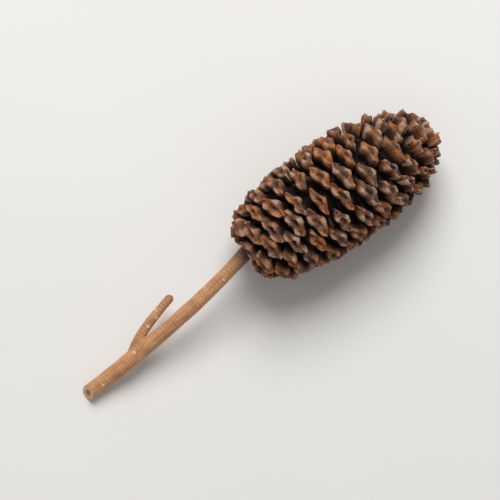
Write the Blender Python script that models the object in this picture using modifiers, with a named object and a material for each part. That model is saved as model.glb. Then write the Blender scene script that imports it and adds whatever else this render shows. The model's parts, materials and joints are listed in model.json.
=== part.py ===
"""An alder cone on its cut stem, lying on its side with its tip towards +X.

The woody scales grow in a golden-angle spiral on a spindle-shaped axis and are fused with it.
The stem leaves the base, sags to the surface and carries the stub of one side twig.
Units are metres, +Z is up and the surface that the cone rests on is Z = 0.
"""

import math
import random

import bmesh
import bpy
from mathutils import Matrix, Vector

MM = 0.001

# Driving dimensions
CONE_LENGTH = 25.0 * MM
CONE_DIAMETER = 12.0 * MM
SCALE_COUNT = 142
STEM_REACH = 22.6 * MM
STEM_DIAMETER_AT_CUT = 1.7 * MM
STEM_DIAMETER_AT_CONE = 1.45 * MM
TWIG_LENGTH = 8.2 * MM
TWIG_DIAMETER = 1.05 * MM
SEAM_GAP = 0.3 * MM
FLAT_SPOT_DEPTH = 0.25 * MM
RESTING_ROLL = math.radians(94)
PLACE_SEED = 11
RIM_SEED = 5

# Outline of the scale ends: two half superellipses that meet at the widest ring
WIDEST_RING = 0.44 * CONE_LENGTH
OUTLINE_POWER = 2.35
OUTLINE_STEPS = 2400
BASE_OPENING_ANGLE = math.radians(160)
TIP_ANGLE = math.radians(1)

# The spindle-shaped axis that the scales spring from, and its collar at the stem
ROOTS_START = 0.115 * CONE_LENGTH
ROOTS_END = 0.83 * CONE_LENGTH
AXIS_RADIUS = 0.44 * CONE_DIAMETER / 2
AXIS_POWER = 0.3
AXIS_RINGS = 9
AXIS_SIDES = 14
COLLAR_RADIUS = 0.62 * STEM_DIAMETER_AT_CONE
COLLAR_FLARE = 1.35
COLLAR_SIDES = 12
COLLAR_START = 0.045 * CONE_LENGTH

# How the scales stand in their spiral, and how each strays from its place
GOLDEN_ANGLE = -math.pi * (3 - math.sqrt(5))
PATCH_SHARE_AT_ENDS = 0.42
PLACE_IN_PATCH = 0.85
HEAD_SLANT = math.radians(13)
TURN_STRAY = math.radians(1.6)
SLANT_STRAY = math.radians(5)
REACH_STRAY = 0.13 * MM
SHIFT_STRAY = 0.10 * MM
SIZE_STRAY = 0.05

# One scale, sized from the patch of surface that it covers
HEAD_WIDTH_FACTOR = 1.38
HEAD_THICKNESS_FACTOR = 0.70
CLOSING_AT_TIP = 0.35
CLOSING_START = 0.8
HEAD_POWER = 1.7
HEAD_SIDES = 8
NECK_SIDES = 4
NECK_WIDTH_SHARE = 0.30
NECK_THICKNESS_SHARE = 0.42
NECK_THICKNESS_LEAST = 0.65 * MM
ROOT_DEPTH = 1.2 * MM
RIM_ROUGHNESS = 0.07 * MM

# Where the scale's sections stand, as shares of its length, and how wide and thick they are
NECK_AT, NECK_WIDENING, NECK_THICKENING = 0.40, 1.25, 1.10
SHOULDER_AT, SHOULDER_WIDTH, SHOULDER_THICKNESS = 0.76, 0.90, 0.80
RIM_AT, RIM_WIDTH, RIM_THICKNESS = 0.97, 0.94, 0.94
DIMPLE_AT = 0.93

# The stem's route as shares of its reach (X back, Y aside, Z down), and its thickening
STEM_ASIDE = -0.14
STEM_SINK = 0.93
STEM_LEAVING = Vector((-0.30, -0.075, -0.02))
STEM_ARRIVING = Vector((0.64, 0.865, 0.70))
STEM_KNOTS = 14
STEM_SIDES = 12
STEM_FLARE, STEM_FLARE_REACH = 0.10, 0.06
FORK_PLACE, FORK_SWELLING, FORK_SWELLING_REACH = 0.74, 0.13, 0.045

# The side twig leaves the fork at one slope, bends forward and ends at another
TWIG_HEADING = Vector((0.91, 0.40, 0.10))
TWIG_LEAVING = Vector((0.72, 0.68, 0.12))
TWIG_ARRIVING = Vector((0.96, 0.27, 0.05))
TWIG_KNOTS = 8
TWIG_SIDES = 8
TWIG_TAPER = 0.26

WELD = 0.001 * MM
SHARP_EDGE = math.radians(40)
WOOD_DARK = (0.085, 0.042, 0.022, 1.0)
BARK_TAN = (0.36, 0.20, 0.105, 1.0)


def clear_scene():
    for obj in list(bpy.data.objects):
        bpy.data.objects.remove(obj, do_unlink=True)


def new_collection(name):
    collection = bpy.data.collections.new(name)
    bpy.context.scene.collection.children.link(collection)
    return collection


def new_material(name, colour, roughness):
    material = bpy.data.materials.new(name)
    material.use_nodes = True
    shader = material.node_tree.nodes["Principled BSDF"]
    shader.inputs["Base Color"].default_value = colour
    shader.inputs["Roughness"].default_value = roughness
    shader.inputs["Metallic"].default_value = 0.0
    return material


def object_from_bmesh(name, shape, collection):
    mesh = bpy.data.meshes.new(name)
    shape.to_mesh(mesh)
    shape.free()
    obj = bpy.data.objects.new(name, mesh)
    collection.objects.link(obj)
    return obj


def apply_modifiers(obj):
    """Puts the evaluated shape into the object's own mesh."""
    graph = bpy.context.evaluated_depsgraph_get()
    old_mesh = obj.data
    obj.data = bpy.data.meshes.new_from_object(obj.evaluated_get(graph))
    obj.modifiers.clear()
    bpy.data.meshes.remove(old_mesh)


def fuse_with_collection(obj, collection):
    """Joins all of the collection's objects to obj in one body, and removes them."""
    fuse = obj.modifiers.new("fuse", "BOOLEAN")
    fuse.operation = "UNION"
    fuse.operand_type = "COLLECTION"
    fuse.collection = collection
    fuse.solver = "EXACT"
    apply_modifiers(obj)
    for joined in list(collection.objects):
        bpy.data.objects.remove(joined, do_unlink=True)
    bpy.data.collections.remove(collection)


def give_material(obj, material):
    obj.data.materials.clear()
    obj.data.materials.append(material)


def outline_point(angle):
    """(height, radius) on the outline of the scale ends; angle 0 is the tip and pi is the base."""
    toward_tip = angle < math.pi / 2
    half_length = CONE_LENGTH - WIDEST_RING if toward_tip else WIDEST_RING
    power = 2 / OUTLINE_POWER
    height = abs(math.cos(angle)) ** power * half_length * (1 if toward_tip else -1)
    radius = abs(math.sin(angle)) ** power * CONE_DIAMETER / 2
    return WIDEST_RING + height, radius


def patch_share(radius):
    """Size of a scale's patch where the outline has this radius, next to one at the widest ring."""
    return PATCH_SHARE_AT_ENDS + (1 - PATCH_SHARE_AT_ENDS) * radius / (CONE_DIAMETER / 2)


def spiral_places():
    """(outline angle, turn round the axis, patch area) of each scale, from the base to the tip."""
    sweep = TIP_ANGLE - BASE_OPENING_ANGLE
    angles = [BASE_OPENING_ANGLE + sweep * k / OUTLINE_STEPS for k in range(OUTLINE_STEPS + 1)]
    crowds = []
    for start, end in zip(angles, angles[1:]):
        (z0, r0), (z1, r1) = outline_point(start), outline_point(end)
        strip = math.pi * (r0 + r1) * math.hypot(z1 - z0, r1 - r0)
        crowds.append(strip / patch_share((r0 + r1) / 2))
    full_patch = sum(crowds) / SCALE_COUNT
    places, passed = [], 0.0
    for angle, crowd in zip(angles, crowds):
        passed += crowd
        if passed > full_patch * (len(places) + PLACE_IN_PATCH):
            patch = full_patch * patch_share(outline_point(angle)[1])
            places.append((angle, len(places) * GOLDEN_ANGLE, patch))
    return places


def head_outline(half_width, half_thickness):
    """The lens-shaped end of a scale, as (across, along) pairs."""
    points = []
    for side in range(HEAD_SIDES):
        angle = 2 * math.pi * side / HEAD_SIDES
        c, s = math.cos(angle), math.sin(angle)
        points.append(
            (
                half_width * math.copysign(abs(c) ** (2 / HEAD_POWER), c),
                half_thickness * math.copysign(abs(s) ** (2 / HEAD_POWER), s),
            )
        )
    return points


def neck_outline(half_width, half_thickness):
    """The four-cornered neck of a scale, as (across, along) pairs."""
    return [
        (half_width, 0.0),
        (0.0, half_thickness),
        (-half_width, 0.0),
        (0.0, -half_thickness),
    ]


def loft_scale(width, thickness, length, chance):
    """A scale along +Z from its root, below Z = 0, to its lens-shaped head: a loft from a
    four-cornered neck to an eight-cornered head, which no primitive makes. X is across and Y is
    towards the tip."""
    shape = bmesh.new()

    def ring(points, height, roughness=0.0):
        vertices = []
        for x, y in points:
            stray = Vector((chance.gauss(0, 1), chance.gauss(0, 1), chance.gauss(0, 1)))
            vertices.append(shape.verts.new(Vector((x, y, height)) + roughness * stray))
        return vertices

    half_w, half_t = width / 2, thickness / 2
    neck_w = NECK_WIDTH_SHARE * half_w
    neck_t = max(NECK_THICKNESS_SHARE * half_t, NECK_THICKNESS_LEAST / 2)
    root = ring(neck_outline(neck_w, neck_t), -ROOT_DEPTH)
    neck = ring(neck_outline(NECK_WIDENING * neck_w, NECK_THICKENING * neck_t), NECK_AT * length)
    shoulder = ring(
        head_outline(SHOULDER_WIDTH * half_w, SHOULDER_THICKNESS * half_t), SHOULDER_AT * length
    )
    rim = ring(
        head_outline(RIM_WIDTH * half_w, RIM_THICKNESS * half_t), RIM_AT * length, RIM_ROUGHNESS
    )
    dimple = shape.verts.new((0, 0, DIMPLE_AT * length))

    shape.faces.new(list(reversed(root)))
    for i in range(NECK_SIDES):
        j = (i + 1) % NECK_SIDES
        corner, middle, following = 2 * i, 2 * i + 1, (2 * i + 2) % HEAD_SIDES
        shape.faces.new((root[i], root[j], neck[j], neck[i]))
        shape.faces.new((neck[i], shoulder[middle], shoulder[corner]))
        shape.faces.new((neck[i], neck[j], shoulder[middle]))
        shape.faces.new((neck[j], shoulder[following], shoulder[middle]))
    for i in range(HEAD_SIDES):
        j = (i + 1) % HEAD_SIDES
        shape.faces.new((shoulder[i], shoulder[j], rim[j], rim[i]))
        shape.faces.new((rim[i], rim[j], dimple))
    bmesh.ops.recalc_face_normals(shape, faces=shape.faces)
    return shape


def scale_frame(root, end, turn, twist):
    """Matrix whose Z runs from root to end, X round the axis and Y towards the cone's tip."""
    along = (end - root).normalized()
    across = Vector((-math.sin(turn), math.cos(turn), 0))
    upward = along.cross(across)
    matrix = Matrix((across, upward, along)).transposed().to_4x4()
    return Matrix.Translation(root) @ matrix @ Matrix.Rotation(twist, 4, "Z")


def axis_point(share):
    """(height, radius) on the spindle at a share of the way from its foot to its top."""
    height = ROOTS_START + share * (ROOTS_END - ROOTS_START)
    return height, AXIS_RADIUS * max(1 - (2 * share - 1) ** 2, 0.0) ** AXIS_POWER


def add_scales(collection):
    """All scales round the upright axis, each with its own small irregularities."""
    chance = random.Random(PLACE_SEED)
    rim_chance = random.Random(RIM_SEED)
    for number, (angle, turn, patch) in enumerate(spiral_places()):
        z_end, r_end = outline_point(angle)
        turn += chance.gauss(0, TURN_STRAY)
        reach = chance.gauss(0, REACH_STRAY)
        shift = chance.gauss(0, SHIFT_STRAY)
        twist = chance.gauss(HEAD_SLANT, SLANT_STRAY)
        size = chance.gauss(1, SIZE_STRAY)
        z_root, r_root = axis_point(z_end / CONE_LENGTH)
        outward = Vector((math.cos(turn), math.sin(turn), 0))
        root = outward * r_root + Vector((0, 0, z_root))
        end = outward * r_end + Vector((0, 0, z_end + shift))
        length = (end - root).length + reach
        spread = math.sqrt(patch) * size
        past_start = max(z_end / CONE_LENGTH - CLOSING_START, 0) / (1 - CLOSING_START)
        closing = 1 + CLOSING_AT_TIP * past_start
        width, thickness = HEAD_WIDTH_FACTOR * spread, HEAD_THICKNESS_FACTOR * closing * spread
        scale = loft_scale(width, thickness, length, rim_chance)
        scale.transform(scale_frame(root, end, turn, twist))
        object_from_bmesh(f"scale_{number:03d}", scale, collection)


def add_axis(collection):
    """The spindle that carries the scales, turned round Z."""
    shape = bmesh.new()
    previous = None
    for k in range(AXIS_RINGS + 1):
        share = (1 + math.cos(math.pi * k / AXIS_RINGS)) / 2
        height, radius = axis_point(share)
        current = shape.verts.new((radius, 0, height))
        if previous:
            shape.edges.new((previous, current))
        previous = current
    axis = object_from_bmesh("cone", shape, collection)
    turned = axis.modifiers.new("turned", "SCREW")
    turned.steps = turned.render_steps = AXIS_SIDES
    turned.use_merge_vertices = True
    turned.merge_threshold = 10 * WELD
    apply_modifiers(axis)
    return axis


def add_collar(collection):
    """The foot of the axis, which the stem meets face to face."""
    shape = bmesh.new()
    height = ROOTS_START + ROOT_DEPTH - COLLAR_START
    bmesh.ops.create_cone(
        shape,
        cap_ends=True,
        segments=COLLAR_SIDES,
        radius1=COLLAR_RADIUS,
        radius2=COLLAR_FLARE * COLLAR_RADIUS,
        depth=height,
        matrix=Matrix.Translation((0, 0, COLLAR_START + height / 2)),
    )
    object_from_bmesh("collar", shape, collection)


def build_cone(collection):
    """Fuses the axis, the collar and all scales into one body. Its own Z runs along the cone."""
    growing = new_collection("growing_scales")
    cone = add_axis(collection)
    add_collar(growing)
    add_scales(growing)
    fuse_with_collection(cone, growing)
    give_material(cone, new_material("weathered_scale_wood", WOOD_DARK, 0.7))
    return cone


def tube(name, points, radii, sides, collection):
    """A round rod through the points, one radius a point, as a closed mesh."""
    curve = bpy.data.curves.new(name, "CURVE")
    curve.dimensions = "3D"
    curve.bevel_depth = 1.0
    curve.bevel_resolution = sides // 2 - 2
    curve.use_fill_caps = True
    spline = curve.splines.new("POLY")
    spline.points.add(len(points) - 1)
    for knot, point, radius in zip(spline.points, points, radii):
        knot.co = (*point, 1.0)
        knot.radius = radius
    rod = bpy.data.objects.new(name + "_curve", curve)
    collection.objects.link(rod)
    graph = bpy.context.evaluated_depsgraph_get()
    mesh = bpy.data.meshes.new_from_object(rod.evaluated_get(graph))
    shape = bmesh.new()
    shape.from_mesh(mesh)
    bmesh.ops.remove_doubles(shape, verts=shape.verts, dist=WELD)
    bmesh.ops.recalc_face_normals(shape, faces=shape.faces)
    bpy.data.objects.remove(rod, do_unlink=True)
    return object_from_bmesh(name, shape, collection)


def bezier(p0, p1, p2, p3, t):
    """A point on a cubic curve."""
    s = 1 - t
    return p0 * s**3 + p1 * 3 * s * s * t + p2 * 3 * s * t * t + p3 * t**3


def stem_route(axis_height):
    """Control points of the stem's curve from where it meets the cone to its cut end, which lies
    on the surface. They are measured from the cone's end, axis_height above the surface."""
    cut_height = STEM_SINK * STEM_DIAMETER_AT_CUT / 2
    end = Vector((-STEM_REACH, STEM_ASIDE * STEM_REACH, cut_height - axis_height))
    return Vector((0, 0, 0)), STEM_LEAVING * STEM_REACH, end * STEM_ARRIVING, end


def stem_radius(t):
    """Radius of the stem a share t of the way down: it thickens at the cone and at the fork."""
    plain = STEM_DIAMETER_AT_CONE + (STEM_DIAMETER_AT_CUT - STEM_DIAMETER_AT_CONE) * t
    flare = STEM_FLARE * math.exp(-((t / STEM_FLARE_REACH) ** 2))
    swelling = FORK_SWELLING * math.exp(-(((t - FORK_PLACE) / FORK_SWELLING_REACH) ** 2))
    return plain / 2 * (1 + flare + swelling)


def add_side_twig(fork, collection):
    """The stub of the side twig, from inside the stem at the fork."""
    end = fork + TWIG_HEADING.normalized() * TWIG_LENGTH
    near = fork + TWIG_LEAVING.normalized() * TWIG_LENGTH / 3
    far = end - TWIG_ARRIVING.normalized() * TWIG_LENGTH / 3
    shares = [k / (TWIG_KNOTS - 1) for k in range(TWIG_KNOTS)]
    points = [bezier(fork, near, far, end, t) for t in shares]
    radii = [TWIG_DIAMETER / 2 * (1 + TWIG_TAPER * (0.5 - t)) for t in shares]
    tube("side_twig", points, radii, TWIG_SIDES, collection)


def build_stem(collection, axis_height):
    """The stem and its side twig, fused. Its origin is where it meets the cone."""
    route = stem_route(axis_height)
    shares = [k / (STEM_KNOTS - 1) for k in range(STEM_KNOTS)]
    points = [bezier(*route, t) for t in shares]
    radii = [stem_radius(t) for t in shares]
    stem = tube("stem", points, radii, STEM_SIDES, collection)
    joining = new_collection("joining_twig")
    add_side_twig(bezier(*route, FORK_PLACE), joining)
    fuse_with_collection(stem, joining)
    give_material(stem, new_material("twig_bark", BARK_TAN, 0.6))
    stem.data.shade_smooth()
    stem.data.set_sharp_from_angle(angle=SHARP_EDGE)
    stem.location = (COLLAR_START - SEAM_GAP, 0, axis_height)
    return stem


def lay_down(cone):
    """Lays the cone along +X, rolled to where its low scales stand widest, so that they dip under
    Z = 0 by the flat spots' depth. Returns the height of its axis."""
    lying = Matrix.Rotation(math.pi / 2, 4, "Y") @ Matrix.Rotation(RESTING_ROLL, 4, "Z")
    lowest = min((lying @ vertex.co).z for vertex in cone.data.vertices)
    axis_height = -lowest - FLAT_SPOT_DEPTH
    cone.matrix_world = Matrix.Translation((0, 0, axis_height)) @ lying
    return axis_height


def flatten_underside(parts, cutters):
    """Cuts off what dips under the surface, which leaves the small flat spots that it rests on."""
    shape = bmesh.new()
    side, depth = 4 * CONE_LENGTH, CONE_LENGTH
    lowering = Matrix.Translation((0, 0, -depth / 2)) @ Matrix.Diagonal((side, side, depth, 1))
    bmesh.ops.create_cube(shape, size=1.0, matrix=lowering)
    cutter = object_from_bmesh("surface_cutter", shape, cutters)
    cutter.hide_render = True
    cutter.display_type = "WIRE"
    for part in parts:
        cut = part.modifiers.new("flat_spots", "BOOLEAN")
        cut.operation = "DIFFERENCE"
        cut.object = cutter
        cut.solver = "EXACT"
        apply_modifiers(part)


def centre_on_origin(parts):
    """Moves the parts level, so that the origin is under the middle of the whole."""
    bpy.context.view_layer.update()
    corners = [part.matrix_world @ v.co for part in parts for v in part.data.vertices]
    middle_x = (min(c.x for c in corners) + max(c.x for c in corners)) / 2
    middle_y = (min(c.y for c in corners) + max(c.y for c in corners)) / 2
    for part in parts:
        part.location.x -= middle_x
        part.location.y -= middle_y


def main():
    clear_scene()
    parts = new_collection("alder_cone")
    cutters = new_collection("cutters")
    cone = build_cone(parts)
    axis_height = lay_down(cone)
    stem = build_stem(parts, axis_height)
    flatten_underside([cone, stem], cutters)
    centre_on_origin([cone, stem])


main()
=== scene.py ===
"""Looks of a ripe alder cone that lies on its side, on its low scales and the end of its stem.

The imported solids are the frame. The scales stand where the solids' scales stand, because both
follow one rule of growth. Lengths are in millimetres until a mesh is written, and metres in it.

A field whose name ends in ramp holds the start and the run of a change. One that ends in spread
holds the middle and the spread of a random draw, and one that ends in range its two ends.
"""

import json
import logging
import math
import random
from dataclasses import dataclass, field
from enum import Enum

import bpy
import numpy as np
from mathutils import Matrix, Vector

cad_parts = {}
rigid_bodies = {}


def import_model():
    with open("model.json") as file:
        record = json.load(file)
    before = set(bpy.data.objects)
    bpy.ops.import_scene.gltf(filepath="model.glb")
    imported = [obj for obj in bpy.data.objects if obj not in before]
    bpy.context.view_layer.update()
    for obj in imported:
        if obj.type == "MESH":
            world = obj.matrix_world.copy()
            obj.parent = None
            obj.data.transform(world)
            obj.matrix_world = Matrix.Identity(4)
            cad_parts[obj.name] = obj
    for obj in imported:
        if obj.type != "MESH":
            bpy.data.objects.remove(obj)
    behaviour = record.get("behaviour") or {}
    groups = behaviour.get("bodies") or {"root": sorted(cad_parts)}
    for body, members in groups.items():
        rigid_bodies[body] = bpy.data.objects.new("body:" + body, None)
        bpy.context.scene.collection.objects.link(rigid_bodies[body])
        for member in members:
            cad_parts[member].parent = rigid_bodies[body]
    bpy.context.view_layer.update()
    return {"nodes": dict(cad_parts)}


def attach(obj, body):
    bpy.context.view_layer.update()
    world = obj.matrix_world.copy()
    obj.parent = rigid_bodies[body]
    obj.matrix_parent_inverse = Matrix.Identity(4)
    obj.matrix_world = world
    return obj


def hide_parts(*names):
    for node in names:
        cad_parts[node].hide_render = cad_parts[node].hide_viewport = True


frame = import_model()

MM = 0.001
TINY = 1e-12
BODY = "root"

Colour = tuple[float, float, float, float]
Triple = tuple[float, float, float]
Pair = tuple[float, float]
Sockets = dict[str, bpy.types.NodeSocket]
Feed = bpy.types.NodeSocket | float | Colour | Triple
Feeds = dict[str | int, Feed]
log = logging.getLogger("alder_cone")


def smooth(values: np.ndarray | float, start: float = 0.0, run: float = 1.0) -> np.ndarray:
    """Eases values from 0 at the start to 1 a run further on, with no corner at either end."""
    held = np.clip((values - start) / run, 0.0, 1.0)
    return held * held * (3 - 2 * held)


def near(distance: np.ndarray) -> np.ndarray:
    """Gives 1 where a distance is 0, and next to nothing where it is over 2."""
    return np.exp(-(distance**2))


def turns(around: int) -> np.ndarray:
    """Lists the angles of evenly spaced points round a circle."""
    return 2 * math.pi * np.arange(around) / around


def unit(vectors: np.ndarray) -> np.ndarray:
    """Brings vectors to length 1, one alone or one a row."""
    return vectors / np.maximum(np.linalg.norm(vectors, axis=-1, keepdims=True), TINY)


def held_up(points: np.ndarray) -> np.ndarray:
    """Lifts points that are below the surface up to it."""
    return np.maximum(points, (-np.inf, -np.inf, 0.0))


def bands(rings: list[np.ndarray]) -> np.ndarray:
    """Joins each ring of point numbers to the next with quads, four point numbers a row."""
    quads = [(low, np.roll(low, -1), np.roll(high, -1), high) for low, high in zip(rings, rings[1:])]
    return np.concatenate([np.stack(quad, axis=1) for quad in quads])


def tube_faces(rings: int, around: int) -> np.ndarray:
    """Lists the quads of a tube whose points are given ring by ring, with both ends closed.

    Args:
        rings: Number of rings.
        around: Number of points on each, which is even.

    Returns:
        Four point numbers a row.
    """
    loops = [start + np.arange(around) for start in range(0, rings * around, around)]
    step = np.arange(around // 2 - 1)
    strip = np.stack([step, step + 1, around - 2 - step, around - 1 - step], axis=1)
    return np.concatenate([bands(loops), strip[:, ::-1], loops[-1][0] + strip])


def link(made: bpy.types.Object) -> bpy.types.Object:
    """Links a new object to the scene and gives it back."""
    bpy.context.scene.collection.objects.link(made)
    return made


def mesh_object(name: str, points: np.ndarray, faces: np.ndarray) -> bpy.types.Object:
    """Makes a mesh object, linked to the scene.

    Args:
        name: Name of the object and its mesh.
        points: Its points, one a row.
        faces: Its quads, as four point numbers a row.

    Returns:
        The object.
    """
    mesh = bpy.data.meshes.new(name)
    mesh.from_pydata(points.tolist(), [], faces.tolist())
    return link(bpy.data.objects.new(name, mesh))


@dataclass(frozen=True)
class Waves:
    """Soft irregular waves through space, made of a few plane waves in random directions.

    Attributes:
        height: Height of a usual crest.
        length: Typical distance between two crests.
        packing: How much closer they are along Z.
    """

    height: float
    length: float
    packing: float = 1.0

    def at(self, points: np.ndarray, chance: np.random.Generator) -> np.ndarray:
        """Draws the waves.

        Args:
            points: Places, one a row.
            chance: Source of the directions and phases.

        Returns:
            The waves' height at each place.
        """
        count = 7
        headings = unit(chance.normal(size=(count, 3)))
        pace = 2 * math.pi / self.length * chance.uniform(0.65, 1.6, size=count)
        phases = chance.uniform(0, 2 * math.pi, size=count)
        crests = np.sin(points * (1, 1, self.packing) @ (headings * pace[:, None]).T + phases)
        return self.height * crests.sum(axis=1) / math.sqrt(count)


@dataclass(frozen=True)
class ScalePlace:
    """Where one scale grows and how large it is.

    Attributes:
        root: Where it springs from the axis.
        turning: Columns are the directions across it, towards the tip and along it.
        length: From its root to its end.
        width: Across its end.
        thickness: Of its end, along the cone.
        share: How far up the cone its end is, from 0 to 1.
    """

    root: np.ndarray
    turning: np.ndarray
    length: float
    width: float
    thickness: float
    share: float


@dataclass(frozen=True)
class Growth:
    """The rule that both the solids and these scales grow by, with its sizes in millimetres."""

    length: float = 25.0
    diameter: float = 12.0
    scale_count: int = 142
    seed: int = 11
    widest_ring: float = 0.44
    outline_power: float = 2.35
    outline_steps: int = 2400
    base_opening: float = math.radians(160)
    tip_angle: float = math.radians(1)
    roots_start: float = 0.115
    roots_end: float = 0.83
    axis_radius: float = 0.44 * 12.0 / 2
    axis_power: float = 0.3
    collar_start: float = 0.045
    seam_gap: float = 0.3
    golden_angle: float = -math.pi * (3 - math.sqrt(5))
    patch_share_at_ends: float = 0.42
    place_in_patch: float = 0.85
    turn_spread: Pair = (0, math.radians(1.6))
    reach_spread: Pair = (0, 0.13)
    shift_spread: Pair = (0, 0.10)
    slant_spread: Pair = (math.radians(9), math.radians(5))
    size_spread: Pair = (1, 0.05)
    resting_roll: float = math.radians(94)
    width_factor: float = 1.38
    thickness_factor: float = 0.70
    closing_at_tip: float = 0.35
    closing_start: float = 0.8

    def outline_point(self, angle: float) -> Pair:
        """Gives a point of the outline that the scales' ends reach.

        Args:
            angle: 0 at the tip and pi at the base.

        Returns:
            Its height along the cone and its radius.
        """
        widest = self.widest_ring * self.length
        toward_tip = angle < math.pi / 2
        half_length = self.length - widest if toward_tip else widest
        power = 2 / self.outline_power
        height = abs(math.cos(angle)) ** power * half_length * (1 if toward_tip else -1)
        return widest + height, abs(math.sin(angle)) ** power * self.diameter / 2

    def radius_at(self, height: float) -> float:
        """Gives the radius of the outline.

        Args:
            height: Height along the cone.

        Returns:
            The radius there.
        """
        widest = self.widest_ring * self.length
        reach = self.length - widest if height > widest else widest
        way = min(abs(height - widest) / reach, 1.0)
        return self.diameter / 2 * (1 - way**self.outline_power) ** (1 / self.outline_power)

    def axis_point(self, share: float) -> Pair:
        """Gives a point of the spindle-shaped axis inside the cone.

        Args:
            share: 0 at its foot and 1 at its top.

        Returns:
            Its height along the cone and its radius.
        """
        start, end = self.roots_start * self.length, self.roots_end * self.length
        bulge = max(1 - (2 * share - 1) ** 2, 0.0) ** self.axis_power
        return start + share * (end - start), self.axis_radius * bulge

    def patch_share(self, radius: float) -> float:
        """Size of a scale's patch at this radius, next to one at the widest ring."""
        fullness = radius / (self.diameter / 2)
        return self.patch_share_at_ends + (1 - self.patch_share_at_ends) * fullness

    def spiral(self) -> list[Triple]:
        """Walks the spiral from the base to the tip.

        Returns:
            The outline angle, the turn round the axis and the patch area of each scale.
        """
        sweep = self.tip_angle - self.base_opening
        steps = self.outline_steps
        angles = [self.base_opening + sweep * k / steps for k in range(steps + 1)]
        crowds = []
        for start, end in zip(angles, angles[1:]):
            (z0, r0), (z1, r1) = self.outline_point(start), self.outline_point(end)
            strip = math.pi * (r0 + r1) * math.hypot(z1 - z0, r1 - r0)
            crowds.append(strip / self.patch_share((r0 + r1) / 2))
        full_patch = sum(crowds) / self.scale_count
        found, passed = [], 0.0
        for angle, crowd in zip(angles, crowds):
            passed += crowd
            if passed > full_patch * (len(found) + self.place_in_patch):
                patch = full_patch * self.patch_share(self.outline_point(angle)[1])
                found.append((angle, len(found) * self.golden_angle, patch))
        return found

    def places(self) -> list[ScalePlace]:
        """Gives every scale its place, with the small irregularities that the solids have too.

        Returns:
            The places, from the base to the tip.
        """
        chance = random.Random(self.seed)
        found = []
        for angle, turn, patch in self.spiral():
            z_end, r_end = self.outline_point(angle)
            turn += chance.gauss(*self.turn_spread)
            reach = chance.gauss(*self.reach_spread)
            shift = chance.gauss(*self.shift_spread)
            twist = chance.gauss(*self.slant_spread)
            spread = math.sqrt(patch) * chance.gauss(*self.size_spread)
            share = z_end / self.length
            z_root, r_root = self.axis_point(share)
            outward = Vector((math.cos(turn), math.sin(turn), 0))
            root = outward * r_root + Vector((0, 0, z_root))
            leap = outward * r_end + Vector((0, 0, z_end + shift)) - root
            along = leap.normalized()
            across = Vector((-math.sin(turn), math.cos(turn), 0))
            turning = Matrix((across, along.cross(across), along)).transposed()
            turning = turning @ Matrix.Rotation(twist, 3, "Z")
            past_start = max(share - self.closing_start, 0) / (1 - self.closing_start)
            closing = 1 + self.closing_at_tip * past_start
            place = ScalePlace(
                root=np.array(root),
                turning=np.array(turning),
                length=leap.length + reach,
                width=self.width_factor * spread,
                thickness=self.thickness_factor * closing * spread,
                share=share,
            )
            found.append(place)
        return found


@dataclass(frozen=True)
class Lie:
    """How the cone lies in the frame.

    Attributes:
        foot: Middle of its foot, where its length is measured from.
        stem_start: Where the stem's middle line meets it.
        turning: The turn that lays it down.
    """

    foot: np.ndarray
    stem_start: np.ndarray
    turning: np.ndarray

    @classmethod
    def from_frame(cls, growth: Growth, window: float = 0.8) -> "Lie":
        """Reads the cone's place from the solids: the stem's near end is round the cone's axis.

        Args:
            growth: The rule, which says how far the stem's end is from the cone's foot.
            window: Length of the stem's near end that is looked at.

        Returns:
            The place and turn of the cone.
        """
        corners = np.array([v.co[:] for v in frame["nodes"]["stem"].data.vertices]) / MM
        near_end = corners[corners[:, 0] > corners[:, 0].max() - window]
        middle = (near_end.min(axis=0) + near_end.max(axis=0)) / 2
        inset = growth.collar_start * growth.length - growth.seam_gap
        lying = Matrix.Rotation(math.pi / 2, 3, "Y")
        rolled = Matrix.Rotation(growth.resting_roll, 3, "Z")
        return cls(middle - np.array((inset, 0, 0)), middle, np.array(lying @ rolled))

    def lay(self, points: np.ndarray) -> np.ndarray:
        """Moves points from the upright cone to where it lies, none below the surface."""
        return held_up(points @ self.turning.T + self.foot)


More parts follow.
